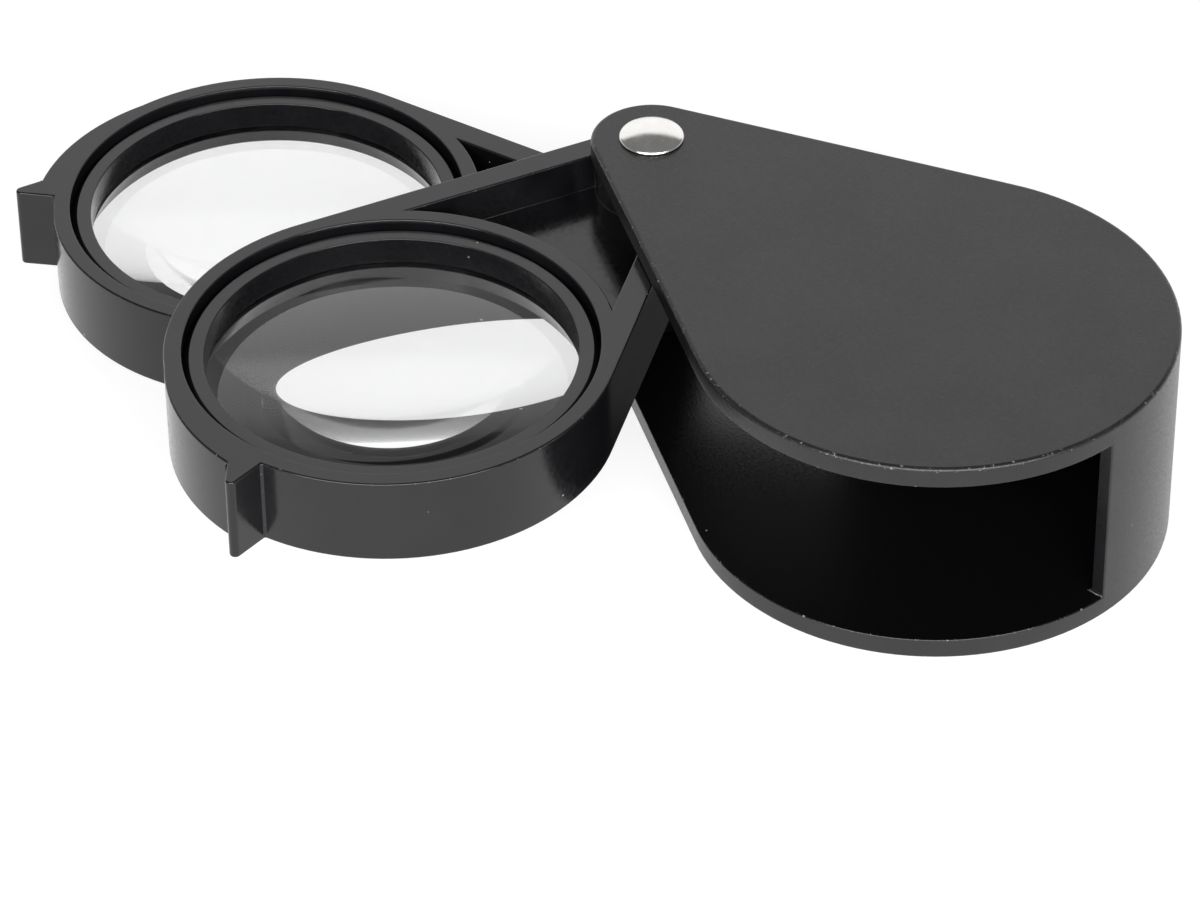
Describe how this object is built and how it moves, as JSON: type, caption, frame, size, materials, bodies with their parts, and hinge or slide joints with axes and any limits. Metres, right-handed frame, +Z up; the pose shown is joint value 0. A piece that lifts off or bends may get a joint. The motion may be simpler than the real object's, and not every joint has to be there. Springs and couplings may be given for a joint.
{
  "type": "folding loupe",
  "caption": "Pocket viewing loupe: round lens frames with finger tabs swing out on a rivet from a teardrop-shaped plastic case.",
  "frame": {"origin": "centre of the case's round end, on the underside of the case", "axes": "+X along the case from the pivot to the round end, +Z up out of the case's top plate, +Y towards the curved wall; the mouth of the case is on the -Y side"},
  "size_m": [0.1281, 0.0966, 0.0263],
  "materials": {
    "case_plastic": "fine matte texture, worn to a shine along the edges",
    "frame_plastic": "satin moulded plastic with polished pockets",
    "ring_plastic": "satin",
    "lens_glass": "polished clear",
    "rivet_nickel": "polished nickel plate",
    "washer_steel": "plain",
    "washer_fibre": "vulcanised fibre, plain"
  },
  "bodies": {
    "case": {"case": "case_plastic", "rivet": "rivet_nickel", "clinch_washer": "washer_steel", "top_friction_washer": "washer_fibre", "lower_friction_washer": "washer_fibre"},
    "upper_lens_arm": {"upper_frame": "frame_plastic", "upper_lens": "lens_glass", "upper_retaining_ring": "ring_plastic"},
    "lower_lens_arm": {"lower_frame": "frame_plastic", "lower_lens": "lens_glass", "lower_retaining_ring": "ring_plastic", "middle_friction_washer": "washer_fibre"}
  },
  "joints": [
    {"name": "upper_swing", "type": "hinge", "parent": "case", "child": "upper_lens_arm", "pos_m": [-0.0442, 0, 0], "axis": [0, 0, 1], "range_deg": [-191, 78.5]},
    {"name": "lower_swing", "type": "hinge", "parent": "case", "child": "lower_lens_arm", "pos_m": [-0.0442, 0, 0], "axis": [0, 0, 1], "range_deg": [-131.5, 138]}
  ]
}
